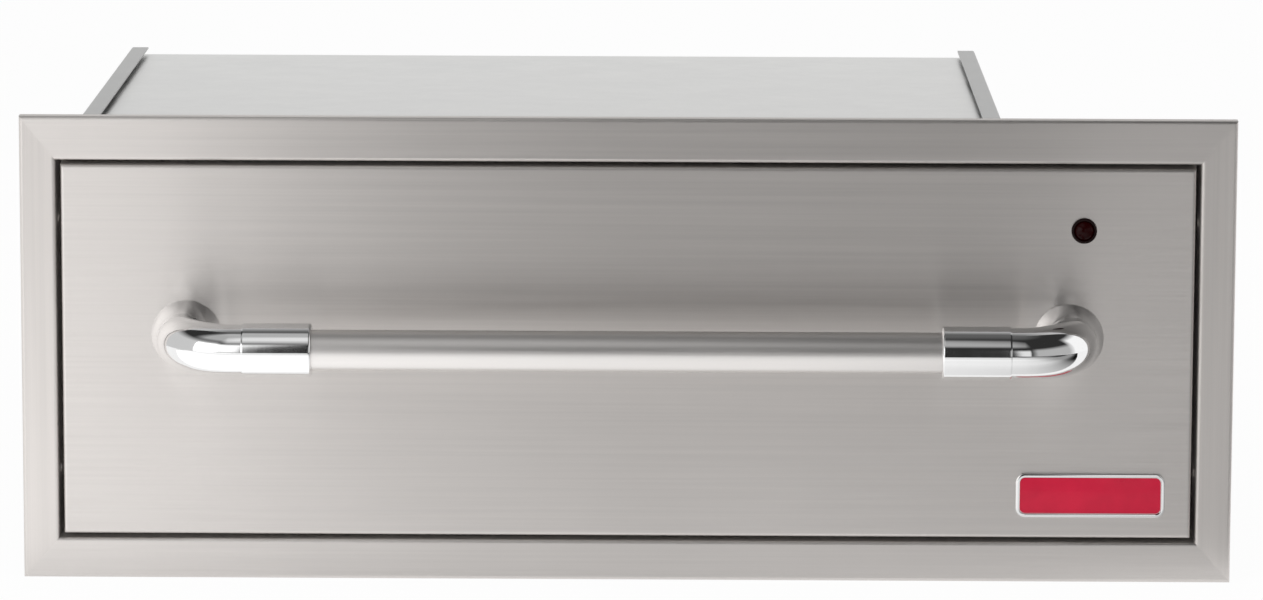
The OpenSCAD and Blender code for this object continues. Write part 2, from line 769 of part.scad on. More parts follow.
module cable_gland() color([0.15, 0.15, 0.16]) difference() {
    union() {
        rod_y(control_depth - 12, control_depth + 10, gland_x, gland_z, gland_d);
        translate([gland_x, control_depth - tray_sheet, gland_z]) rotate([90, 0, 0])
            cylinder(h = 5, d = gland_nut_d, $fn = 6);
        translate([gland_x, control_depth, gland_z]) rotate([-90, 0, 0])
            cylinder(h = 7, d = gland_nut_d, $fn = 6);
        translate([gland_x, control_depth + 7, gland_z]) rotate([-90, 0, 0]) rotate_extrude()
            polygon([[0, 0], [12, 0], [12, 14], [10, 19], [8.5, 21], [0, 21]]);
    }
    rod_y(control_depth - 20, control_depth + 40, gland_x, gland_z, gland_bore_d);
}

// ---------- slides ----------

// one side of each member's section, as a centreline from the web's middle upwards
outer_half = concat([[half_sheet, 0]], backwards(arc(ball_a, track_a, -15, 180, 13)));
middle_half = concat(
    [[middle_web, 0]],
    rounded([middle_web, 0], [middle_web, ball_a[1] - track_a], [ball_a[0], ball_a[1] - track_a], slide_corner),
    arc(ball_a, track_a, 270, track_leave, 2),
    backwards(arc(ball_b, track_b, -20, track_leave - 180, 9))
);
inner_half = concat(
    [[inner_web, 0]],
    rounded([inner_web, 0], [inner_web, ball_b[1] - track_b], [ball_b[0], ball_b[1] - track_b], slide_corner),
    backwards(arc(ball_b, track_b, 205, 270, 5))
);
module member(half) {
    whole = concat(backwards(mirror_v(half)), [for (i = [1:len(half) - 1]) half[i]]);
    translate([cav_l, 0, slide_z]) along_y(slide_y, slide_end) sheet(whole, slide_sheet);
}
module slide_outer_left() color(zinc) member(outer_half);
module slide_outer_right() color(zinc) on_side("right") member(outer_half);
module slide_middle_left() color(zinc) member(middle_half);
module slide_middle_right() color(zinc) on_side("right") member(middle_half);

// a cage: a web strip with fingers folded between the balls, and the balls themselves
module cage(web_u, ball, ball_d) {
    pitch = cage_len/balls;
    start = slide_mid - cage_len/2;
    reach = ball[1] - ball_d/2 - 0.4;
    finger_w = pitch - ball_d - 2*finger_play;
    translate([cav_l, 0, slide_z]) {
        block([web_u - cage_sheet/2, start, -reach], [web_u + cage_sheet/2, start + cage_len, reach]);
        for (side = [-1, 1], i = [1:balls - 1]) {
            y = start + i*pitch;
            block([web_u - cage_sheet/2, y - finger_w/2, side > 0 ? reach - 1 : -ball[1] - cage_sheet/2],
                  [web_u + cage_sheet/2, y + finger_w/2, side > 0 ? ball[1] + cage_sheet/2 : 1 - reach]);
            block([web_u - cage_sheet/2, y - finger_w/2, side*ball[1] - cage_sheet/2],
                  [ball[0] + 1.8, y + finger_w/2, side*ball[1] + cage_sheet/2]);
        }
        for (side = [-1, 1], i = [0:balls - 1])
            translate([ball[0], start + (i + 0.5)*pitch, side*ball[1]]) sphere(d = ball_d);
    }
}
module outer_cage_left() color("goldenrod") cage(cage_a_u, ball_a, outer_ball_d);
module outer_cage_right() color("goldenrod") on_side("right") cage(cage_a_u, ball_a, outer_ball_d);
module inner_cage_left() color("goldenrod") cage(cage_b_u, ball_b, inner_ball_d);
module inner_cage_right() color("goldenrod") on_side("right") cage(cage_b_u, ball_b, inner_ball_d);

// the inner member carries its lever's pin, and is drilled for the drawer's screws
lever_u = slide_w - slide_sheet - lever_gap - lever_t;
slide_screw_ys = [slide_y + first_screw_in, slide_mid, box_back - last_screw_in];
module slide_inner() difference() {
    union() {
        member(inner_half);
        rod_x(cav_l + lever_u - lever_gap, cav_l + inner_web, lever_y, slide_z, lever_pin_d);
        rod_x(cav_l + lever_u - lever_gap - 1, cav_l + lever_u - lever_gap, lever_y, slide_z, lever_pin_d + 3);
    }
    for (y = slide_screw_ys) rod_x(cav_l + inner_web - 2, cav_l + slide_w + overcut, y, slide_z, screw_d);
}
module slide_inner_left() color(zinc) slide_inner();
module slide_inner_right() color(zinc) on_side("right") slide_inner();

// the lever: a tapering arm with a thumb tab, on the inner member's pin
module release_lever() difference() {
    translate([cav_l + lever_u, 0, 0]) rotate([90, 0, 90]) linear_extrude(lever_t) union() {
        translate([lever_y, slide_z]) circle(d = lever_w + 3);
        polygon([
            [lever_y - lever_tail, slide_z - 5], [lever_y, slide_z - lever_w/2],
            [lever_y + lever_len, slide_z - 2], [lever_y + lever_len, slide_z + 2],
            [lever_y, slide_z + lever_w/2], [lever_y - lever_tail, slide_z + 5]
        ]);
    }
    rod_x(cav_l, cav_l + slide_w, lever_y, slide_z, lever_pin_d + 2*lever_bore_play);
}
module release_lever_left() color("dimgray") release_lever();
module release_lever_right() color("dimgray") on_side("right") release_lever();

module slide_screws() color(zinc) for (side = ["left", "right"], y = slide_screw_ys) on_side(side) {
    rod_x(cav_l + inner_web - half_sheet, side_l + drawer_sheet, y, slide_z, screw_d);
    translate([side_l + drawer_sheet, y, slide_z]) rotate([0, 90, 0])
        cylinder(h = screw_head_h, d1 = screw_head_d, d2 = screw_head_d*0.6);
}

// ---------- drawer front ----------

// a rectangle whose two front corners are rounded
function soft_front(x0, x1, y0, y1, r) = concat(
    [[x1, y1], [x0, y1]],
    arc([x0 + r, y0 + r], r, 180, 270, 5),
    arc([x1 - r, y0 + r], r, 270, 360, 5)
);
module soft_block(inset, back) {
    r = skin_radius - inset;
    intersection() {
        translate([0, 0, front_b + inset]) linear_extrude(front_t - front_b - 2*inset)
            polygon(soft_front(front_l + inset, front_r - inset, face_y + inset, back, r));
        along_x(front_l, front_r)
            polygon(swapped(soft_front(front_b + inset, front_t - inset, face_y + inset, back, r)));
    }
}
handle_holes = [[-leg_x, handle_z], [leg_x, handle_z]];
module front_skin() color(steel) difference() {
    soft_block(0, front_back);
    soft_block(skin_sheet, front_back + overcut);
    for (at = handle_holes) rod_y(face_y - overcut, skin_back + overcut, at[0], at[1], bolt_d + 0.5);
    rod_y(face_y - overcut, skin_back + overcut, lens_x, lens_z, lens_stem_d);
}
panel_l = front_l + skin_sheet;
panel_r = front_r - skin_sheet;
panel_t = front_t - skin_sheet;
panel_b = front_b + skin_sheet;
module front_inner_panel() color(dull_steel) difference() {
    block([panel_l, front_back - panel_flange, panel_b], [panel_r, front_back, panel_t]);
    block([panel_l + drawer_sheet, front_back - panel_flange - overcut, panel_b + drawer_sheet],
          [panel_r - drawer_sheet, front_back - drawer_sheet, panel_t - drawer_sheet]);
    rod_y(front_back - 5, front_back + overcut, lens_x, lens_z, lens_stem_d);
}
module front_insulation() color("khaki") difference() {
    block([panel_l + drawer_sheet + 0.5, skin_back, panel_b + drawer_sheet + 0.5],
          [panel_r - drawer_sheet - 0.5, front_back - drawer_sheet, panel_t - drawer_sheet - 0.5]);
    for (at = handle_holes) rod_y(skin_back - overcut, front_back, at[0], at[1], washer_d + 3);
    rod_y(skin_back - overcut, front_back, lens_x, lens_z, lens_stem_d);
}
// four lengths of strip, mitred at the corners
module drawer_gasket() color([0.1, 0.1, 0.1]) {
    inner = [cav_r - cav_l + 2*gasket_inset, cav_t - cav_b + 2*gasket_inset]/2;
    outer = inner + [gasket_w, gasket_w];
    translate([(cav_l + cav_r)/2, jamb_depth - gasket_gap, 0]) rotate([90, 0, 0])
        linear_extrude(jamb_depth - gasket_gap - front_back) for (side = [-1, 1]) {
            polygon([[-inner[0], side*inner[1]], [inner[0], side*inner[1]],
                     [outer[0], side*outer[1]], [-outer[0], side*outer[1]]]);
            polygon([[side*inner[0], -inner[1]], [side*inner[0], inner[1]],
                     [side*outer[0], outer[1]], [side*outer[0], -outer[1]]]);
        }
}

// ---------- drawer box ----------

module drawer_side() {
    along_y(front_back, box_back) sheet(bent([
        [box_l + pan_seat, box_t - drawer_sheet/2],
        [box_l - drawer_sheet/2, box_t - drawer_sheet/2],
        [box_l - drawer_sheet/2, box_b + drawer_sheet/2],
        [box_l + pan_seat, box_b + drawer_sheet/2]
    ], 1.2), drawer_sheet);
    block([box_l - drawer_sheet/2, front_back, box_b + drawer_sheet/2],
          [box_l + pan_seat, front_back + drawer_sheet, box_t - drawer_sheet/2]);
}
module drilled_side() difference() {
    drawer_side();
    for (y = slide_screw_ys) rod_x(box_l - 5, box_l + 5, y, slide_z, screw_d);
}
module drawer_side_left() color(steel) drilled_side();
module drawer_side_right() color(steel) on_side("right") drilled_side();

// angles across the front and back, which the ends of the pan's rim rest on
module drawer_cross_rails() color(steel) {
    seat_l = box_l + pan_seat;
    seat_r = box_r - pan_seat;
    along_x(seat_l, seat_r) sheet(bent([
        [front_back + drawer_sheet/2, box_t - rail_h],
        [front_back + drawer_sheet/2, box_t - drawer_sheet/2],
        [front_back + drawer_sheet + pan_seat, box_t - drawer_sheet/2]
    ], 1.2), drawer_sheet);
    along_x(seat_l, seat_r) sheet(bent([
        [box_back - drawer_sheet/2, box_b + drawer_sheet],
        [box_back - drawer_sheet/2, box_t - drawer_sheet/2],
        [box_back - drawer_sheet - pan_seat, box_t - drawer_sheet/2]
    ], 1.2), drawer_sheet);
    for (from = [box_l, seat_r])
        block([from, box_back - drawer_sheet, box_b + drawer_sheet],
              [from + pan_seat, box_back, box_t - drawer_sheet]);
}

// the wall's section, outwards from the middle of a corner: rim, wall, foot and floor
pan_wall_r = pan_corner - pan_sheet/2;
pan_path = concat(
    [[pan_corner + pan_rim, pan_top - pan_sheet/2]],
    rounded([pan_corner + pan_rim, pan_top - pan_sheet/2], [pan_wall_r, pan_top - pan_sheet/2],
            [pan_wall_r - pan_draft, pan_floor + pan_sheet/2], rim_bend),
    rounded([pan_wall_r, pan_top - pan_sheet/2], [pan_wall_r - pan_draft, pan_floor + pan_sheet/2],
            [0, pan_floor + pan_sheet/2], pan_foot, 6),
    [[0, pan_floor + pan_sheet/2]]
);
module drawer_pan() color(steel) {
    w = pan_r - pan_l - 2*pan_corner;
    d = pan_back - pan_front - 2*pan_corner;
    translate([(pan_l + pan_r)/2, (pan_front + pan_back)/2, 0]) {
        block([-w/2, -d/2, pan_floor], [w/2, d/2, pan_floor + pan_sheet]);
        for (i = [0:3]) {
            sideways = i % 2 == 0;
            rotate(90*i) translate([sideways ? w/2 : d/2, sideways ? d/2 : w/2, 0]) {
                rotate_extrude(angle = 90) sheet(pan_path, pan_sheet);
                rotate([90, 0, 0]) linear_extrude(sideways ? d : w) sheet(pan_path, pan_sheet);
            }
        }
    }
}

// ---------- handle ----------

module handle_tube() color(steel) difference() {
    rod_x(-tube_end, tube_end, tube_y, handle_z, tube_d);
    rod_x(-sleeve_out, sleeve_out, tube_y, handle_z, tube_d - 2*tube_wall);
}

// stations of the cast elbow: [x, y, heading, radius], from the sleeve to the drawer front
elbow_d = sleeve_d - 2*shoulder;
elbow_swell = 0.6;
leg_end = tube_y + elbow_r;
leg_span = face_y - leg_end;
function leg_radius(to_face) =
    leg_d/2 + (to_face < flare_h ? (foot_d - leg_d)/2*pow(1 - to_face/flare_h, 2) : 0);
elbow_stations = concat(
    [[sleeve_out - elbow_root, tube_y, 0, elbow_d/2]],
    [for (i = [0:elbow_steps])
        let (a = 90*i/elbow_steps, ease = (1 - cos(2*a))/2)
        [leg_x - elbow_r + elbow_r*sin(a), leg_end - elbow_r*cos(a), a,
         elbow_d/2 + (leg_d - elbow_d)/2*ease + elbow_swell*sin(2*a)]],
    [for (i = [1:leg_steps])
        let (y = leg_end + leg_span*pow(i/leg_steps, 0.7))
        [leg_x, y, 90, leg_radius(face_y - y)]]
);
function ring(s) = [
    for (i = [0:elbow_sides - 1])
        let (a = 360*i/elbow_sides)
        [s[0] - s[3]*cos(a)*sin(s[2]), s[1] + s[3]*cos(a)*cos(s[2]), handle_z + s[3]*sin(a)]
];
module cast_elbow() {
    rings = len(elbow_stations);
    n = elbow_sides;
    polyhedron(
        points = [for (s = elbow_stations) each ring(s)],
        faces = concat(
            [[for (i = [0:n - 1]) i]],
            [for (k = [0:rings - 2], i = [0:n - 1]) [k*n + i, (k+1)*n + i, (k+1)*n + (i+1) % n, k*n + (i+1) % n]],
            [[for (i = [n - 1:-1:0]) (rings - 1)*n + i]]
        )
    );
}
module handle_bracket() difference() {
    union() {
        cast_elbow();
        rod_x(sleeve_in + sleeve_chamfer, sleeve_out, tube_y, handle_z, sleeve_d);
        translate([sleeve_in, tube_y, handle_z]) rotate([0, 90, 0])
            cylinder(h = sleeve_chamfer, d1 = sleeve_d - 2*sleeve_chamfer, d2 = sleeve_d);
    }
    rod_x(sleeve_in - overcut, tube_end + 1, tube_y, handle_z, tube_d + 2*tube_play);
    rod_y(face_y - thread_depth - 2, face_y + overcut, leg_x, handle_z, bolt_d + 0.1);
    rod_y(tube_y, tube_y + sleeve_d, sleeve_in + sleeve_len/2, handle_z, grub_d + 0.1);
}
module handle_bracket_left() color("silver") on_end("left") handle_bracket();
module handle_bracket_right() color("silver") on_end("right") handle_bracket();

module handle_fasteners() color(zinc) for (side = ["left", "right"]) on_end(side) {
    rod_y(face_y - thread_depth, skin_back + washer_h + 1, leg_x, handle_z, bolt_d);
    rod_y(skin_back, skin_back + washer_h, leg_x, handle_z, washer_d);
    translate([leg_x, skin_back + washer_h, handle_z]) rotate([-90, 0, 0])
        cylinder(h = bolt_head_h, d = bolt_head_d, $fn = 6);
    rod_y(tube_y + tube_d/2, tube_y + sleeve_d/2 - 0.6, sleeve_in + sleeve_len/2, handle_z, grub_d);
}

// ---------- indicator ----------

module lens_bezel() color([0.08, 0.08, 0.08]) translate([lens_x, face_y, lens_z]) rotate([90, 0, 0])
    rotate_extrude() polygon([
        [lens_d/2, 0], [bezel_d/2, 0], [bezel_d/2, 0.8], [bezel_d/2 - 0.7, 1.6], [lens_d/2, 1.6]
    ]);
// a domed lens whose stem carries the lamp's light through the drawer front
module indicator_lens() color([0.35, 0.02, 0.02]) translate([lens_x, face_y, lens_z]) rotate([90, 0, 0]) {
    dome_h = 3.4;
    dome_r = (lens_d*lens_d/4 + dome_h*dome_h)/2/dome_h;
    rotate_extrude() polygon(concat(
        [[0, 0]],
        arc([0, dome_h - dome_r], dome_r, asin((dome_r - dome_h)/dome_r), 90, 8)
    ));
    translate([0, 0, -front_back - frame_proud]) cylinder(h = front_back + frame_proud + 0.5, d = lens_stem_d);
}

frame_top_rail();
frame_bottom_rail();
frame_left_stile();
frame_right_stile();
front_plate();
shell_top();
shell_left();
shell_right();
shell_back();
shell_base();
liner_top();
liner_base();
liner_left();
liner_right();
liner_back();
insulation_top();
insulation_base();
insulation_sides();
insulation_back();
heating_element();
element_terminals();
cavity_clips();
control_housing();
control_plate();
thermostat_body();
thermostat_bulb();
indicator_lamp();
terminal_block();
cable_gland();
shell_screws();
slide_outer_left();
slide_outer_right();
slide_middle_left();
slide_middle_right();
outer_cage_left();
outer_cage_right();
inner_cage_left();
inner_cage_right();
slide_inner_left();
slide_inner_right();
release_lever_left();
release_lever_right();
front_skin();
front_insulation();
front_inner_panel();
drawer_gasket();
drawer_side_left();
drawer_side_right();
drawer_cross_rails();
drawer_pan();
slide_screws();
handle_tube();
handle_bracket_left();
handle_bracket_right();
handle_fasteners();
lens_bezel();
indicator_lens();
thermostat_knob();
thermostat_shaft();
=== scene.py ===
"""A built-in warming drawer: looks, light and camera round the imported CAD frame. Metres."""
import json
import math

import bmesh
import bpy
import numpy as np
from mathutils import Matrix, Vector


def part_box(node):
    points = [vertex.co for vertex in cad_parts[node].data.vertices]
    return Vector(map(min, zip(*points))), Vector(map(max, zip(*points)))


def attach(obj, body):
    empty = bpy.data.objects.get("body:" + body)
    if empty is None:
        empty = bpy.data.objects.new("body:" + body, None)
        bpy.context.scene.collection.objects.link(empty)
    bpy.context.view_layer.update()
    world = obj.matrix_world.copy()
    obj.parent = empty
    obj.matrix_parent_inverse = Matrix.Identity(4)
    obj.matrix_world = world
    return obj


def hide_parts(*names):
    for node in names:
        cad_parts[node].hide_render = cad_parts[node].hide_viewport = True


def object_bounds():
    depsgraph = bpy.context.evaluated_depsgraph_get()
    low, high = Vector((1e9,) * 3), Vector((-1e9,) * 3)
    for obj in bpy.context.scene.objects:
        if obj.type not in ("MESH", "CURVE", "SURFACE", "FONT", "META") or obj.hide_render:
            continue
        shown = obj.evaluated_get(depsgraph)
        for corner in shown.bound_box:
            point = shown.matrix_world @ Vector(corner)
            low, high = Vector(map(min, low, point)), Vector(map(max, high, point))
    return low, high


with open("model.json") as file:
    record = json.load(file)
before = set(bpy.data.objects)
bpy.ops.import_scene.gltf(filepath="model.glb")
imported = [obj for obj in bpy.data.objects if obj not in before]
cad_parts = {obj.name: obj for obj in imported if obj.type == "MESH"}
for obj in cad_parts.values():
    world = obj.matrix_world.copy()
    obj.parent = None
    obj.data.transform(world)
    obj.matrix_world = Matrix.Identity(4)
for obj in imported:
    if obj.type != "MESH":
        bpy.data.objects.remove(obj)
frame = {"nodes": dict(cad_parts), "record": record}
nodes = frame["nodes"]
cad_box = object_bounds()
scene = bpy.context.scene
scene.view_settings.view_transform = "Standard"

# ---------- camera, at the photograph's place ----------

PHOTO_W = 1263   # pixels
FOCAL_PX = 6049  # the focal length in the photograph's pixels
SENSOR = 36      # mm
FAR = 60
EYE = Vector((0.030, -3.757, 0.645))
PITCH, YAW, ROLL = (math.radians(a) for a in (9.29, -0.42, 0.2))

forward = Vector((math.sin(YAW)*math.cos(PITCH), math.cos(YAW)*math.cos(PITCH), -math.sin(PITCH)))
level = Vector((math.cos(YAW), -math.sin(YAW), 0))
right = math.cos(ROLL)*level + math.sin(ROLL)*level.cross(forward)
turned = Matrix((right, right.cross(forward), -forward)).transposed()
lens = bpy.data.cameras.new("camera")
lens.sensor_width = SENSOR
lens.lens = FOCAL_PX*SENSOR/PHOTO_W
lens.clip_end = FAR
camera = bpy.data.objects.new("camera", lens)
camera.matrix_world = Matrix.Translation(EYE) @ turned.to_4x4()
scene.collection.objects.link(camera)
scene.camera = camera

# ---------- node graphs ----------

# the Mix node's sockets by number, because several share a name
MIX_FACTOR, MIX_VECTOR_A, MIX_VECTOR_B, MIX_COLOUR_A, MIX_COLOUR_B = 0, 4, 5, 6, 7
MIX_VECTOR_OUT, MIX_COLOUR_OUT = 1, 2
GRAINS = {"x": (1, 0, 0), "y": (0, 1, 0), "z": (0, 0, 1)}
GRAIN_TILT = (0.004, 0.006, 0.005)
WHITE = (1, 1, 1)


class Graph:
    """The nodes of a material or of the world."""

    def __init__(self, owner, output="OutputMaterial"):
        owner.use_nodes = True
        self.owner = owner
        self.tree = owner.node_tree
        self.tree.nodes.clear()
        self.output = self.add(output)

    def add(self, kind, inputs=None, **settings):
        """Makes a node, sets each input to a value or links it to a socket, and returns it."""
        node = self.tree.nodes.new("ShaderNode" + kind)
        for key, value in settings.items():
            setattr(node, key, value)
        for key, value in (inputs or {}).items():
            if isinstance(value, bpy.types.NodeSocket):
                self.tree.links.new(value, node.inputs[key])
            else:
                node.inputs[key].default_value = value
        return node

    def math(self, operation, a, b):
        return self.add("Math", {0: a, 1: b}, operation=operation).outputs[0]

    def seen(self):
        """1 for rays from the camera and for mirrored and transmitted rays, else 0."""
        path = self.add("LightPath")
        value = path.outputs["Is Camera Ray"]
        for kind in ("Glossy", "Transmission"):
            value = self.math("MAXIMUM", value, path.outputs[f"Is {kind} Ray"])
        return value

    def mixed(self, share, first, second):
        """The first shader where share is 0, the second where it is 1."""
        return self.add("MixShader", {0: share, 1: first.outputs[0], 2: second.outputs[0]})

    def show(self, shader):
        """Sends the shader to the output, and returns the material or world."""
        self.tree.links.new(shader.outputs[0], self.output.inputs["Surface"])
        return self.owner


class Look(Graph):
    """A material of the object, laid out in each piece's own coordinates."""

    def __init__(self, name):
        super().__init__(bpy.data.materials.new(name))
        self.place = self.add("TexCoord").outputs["Object"]

    def noise(self, scale, detail=3, rough=0.55, vector=None):
        """A noise's value, 0 to 1, stretched by three scales or by one."""
        vector = vector or self.place
        if isinstance(scale, tuple):
            vector = self.add("Mapping", {"Vector": vector, "Scale": scale}).outputs["Vector"]
            scale = 1
        return self.add("TexNoise", {"Vector": vector, "Scale": scale, "Detail": detail,
                                     "Roughness": rough}).outputs["Fac"]

    def ranged(self, value, low, high, start=0.3, end=0.7):
        """A number from low to high as value goes from start to end."""
        return self.add("MapRange", {"Value": value, "From Min": start, "From Max": end,
                                     "To Min": low, "To Max": high}).outputs["Result"]

    def between(self, value, a, b, start=0.3, end=0.7):
        """A colour from a to b as value goes from start to end."""
        ramp = self.add("ValToRGB", {"Fac": value})
        for stop, at, colour in zip(ramp.color_ramp.elements, (start, end), (a, b)):
            stop.position, stop.color = at, (*colour, 1)
        return ramp.outputs["Color"]

    def varied(self, value, colour, contrast, **span):
        """The colour from a little darker to a little lighter, by a share of itself."""
        return self.between(value, tint(colour, 1 - contrast), tint(colour, 1 + contrast), **span)

    def times(self, a, b):
        """One colour multiplied by another."""
        return self.add("Mix", {MIX_COLOUR_A: a, MIX_COLOUR_B: b, MIX_FACTOR: 1.0},
                        data_type="RGBA", blend_type="MULTIPLY").outputs[MIX_COLOUR_OUT]

    def bump(self, height, distance, strength):
        return self.add("Bump", {"Height": height, "Distance": distance,
                                 "Strength": strength}).outputs["Normal"]

    def across(self, grain):
        """The surface direction square to the grain, along which a brushed metal's highlights
        spread. The grain is tilted a hair, so that a face square to it has one too."""
        normal = self.add("NewGeometry").outputs["Normal"]
        tilted = tuple(a + tilt for a, tilt in zip(grain, GRAIN_TILT))
        return self.add("VectorMath", {0: normal, 1: tilted},
                        operation="CROSS_PRODUCT").outputs[0]

    def finish(self, inputs):
        return self.show(self.add("BsdfPrincipled", inputs))


def tint(colour, share):
    return tuple(min(1, c*share) for c in colour)


# ---------- materials ----------

# a brushed metal's two layers of streaks, as noise scales
FINE_ALONG, FINE_ACROSS = 10, 1500
COARSE_ALONG, COARSE_ACROSS = 2.5, 260


def brushed(name, colour, grain, rough, aniso, contrast=0.05, clouds=0.04):
    """Brushed stainless steel: streaks along the grain, soft clouds, and highlights spread
    across the grain."""
    g = Look(name)
    axis = GRAINS[grain]
    fine = g.noise(tuple(FINE_ALONG if a else FINE_ACROSS for a in axis),
                   detail=2, rough=0.6)
    coarse = g.noise(tuple(COARSE_ALONG if a else COARSE_ACROSS for a in axis),
                     detail=4, rough=0.6)
    cloud = g.noise(5.5, detail=4, rough=0.5)
    streaks = g.math("ADD", fine, coarse)
    return g.finish({
        "Base Color": g.times(g.varied(coarse, colour, contrast),
                              g.between(cloud, tint(WHITE, 1 - clouds), WHITE)),
        "Metallic": 1.0, "Anisotropic": aniso, "Tangent": g.across(axis),
        "Roughness": g.ranged(streaks, rough - 0.04, rough + 0.05, start=0.7, end=1.3),
        "Normal": g.bump(fine, distance=0.00003, strength=0.6)})


def satin(name, colour, rough, mottle, size, contrast=0.05):
    """Plain sheet metal with a fine tooth and soft mottling."""
    g = Look(name)
    mottling = g.noise(size, detail=5, rough=0.6)
    tooth = g.noise(900, detail=2, rough=0.5)
    return g.finish({
        "Base Color": g.varied(mottling, colour, contrast), "Metallic": 1.0,
        "Roughness": g.ranged(mottling, rough - mottle, rough + mottle),
        "Normal": g.bump(tooth, distance=0.00002, strength=0.5)})


def plated(name, colour, rough=0.36, crystal_scale=700):
    """Zinc plate: small crystals that differ a little in tone."""
    g = Look(name)
    crystals = g.add("TexVoronoi", {"Vector": g.place, "Scale": crystal_scale}).outputs["Color"]
    tone = g.add("SeparateColor", {0: crystals}).outputs[0]
    cloud = g.noise(25)
    tooth = g.noise(700, detail=2)
    return g.finish({
        "Base Color": g.times(g.varied(tone, colour, contrast=0.03, start=0, end=1),
                              g.between(cloud, tint(WHITE, 0.94), WHITE)),
        "Metallic": 1.0,
        "Roughness": g.ranged(tone, rough - 0.03, rough + 0.03, start=0, end=1),
        "Normal": g.bump(tooth, distance=0.00002, strength=0.5)})


def polished(name, colour, rough):
    """Chrome, with the faintest haze from wiping."""
    g = Look(name)
    haze = g.noise((60, 60, 20), detail=4, rough=0.6)
    ripple = g.noise(160, detail=2)
    return g.finish({
        "Base Color": g.between(haze, tint(colour, 0.97), colour), "Metallic": 1.0,
        "Roughness": g.ranged(haze, rough - 0.015, rough + 0.03),
        "Normal": g.bump(ripple, distance=0.00001, strength=0.3)})


def moulded(name, colour, rough=0.5, tooth=0.00004, coat=0.0, shine=0.5):
    """Moulded plastic or glazed ceramic: a fine tooth and a little variation of tone."""
    g = Look(name)
    tone = g.noise(40, detail=4)
    pits = g.noise(1400)
    return g.finish({
        "Base Color": g.between(tone, tint(colour, 0.9), tint(colour, 1.08)),
        "Roughness": g.ranged(tone, rough - 0.04, rough + 0.06),
        "Coat Weight": coat, "Coat Roughness": 0.08, "Specular IOR Level": shine,
        "Normal": g.bump(pits, distance=tooth, strength=0.6)})


def wool(name, colour):
    """Mineral wool: matted fibres with lighter and darker tufts."""
    g = Look(name)
    swirl = g.add("TexNoise", {"Vector": g.place, "Scale": 30}).outputs["Color"]
    matted = g.add("Mix", {MIX_VECTOR_A: g.place, MIX_VECTOR_B: swirl, MIX_FACTOR: 0.03},
                   data_type="VECTOR").outputs[MIX_VECTOR_OUT]
    fibres = g.noise((900, 160, 900), detail=5, rough=0.7, vector=matted)
    tufts = g.noise(60, detail=4)
    return g.finish({
        "Base Color": g.times(g.between(fibres, tint(colour, 0.7), tint(colour, 1.25)),
                              g.between(tufts, (0.85, 0.8, 0.7), WHITE)),
        "Roughness": 0.95, "Sheen Weight": 0.25,
        "Normal": g.bump(fibres, distance=0.0006, strength=0.9)})


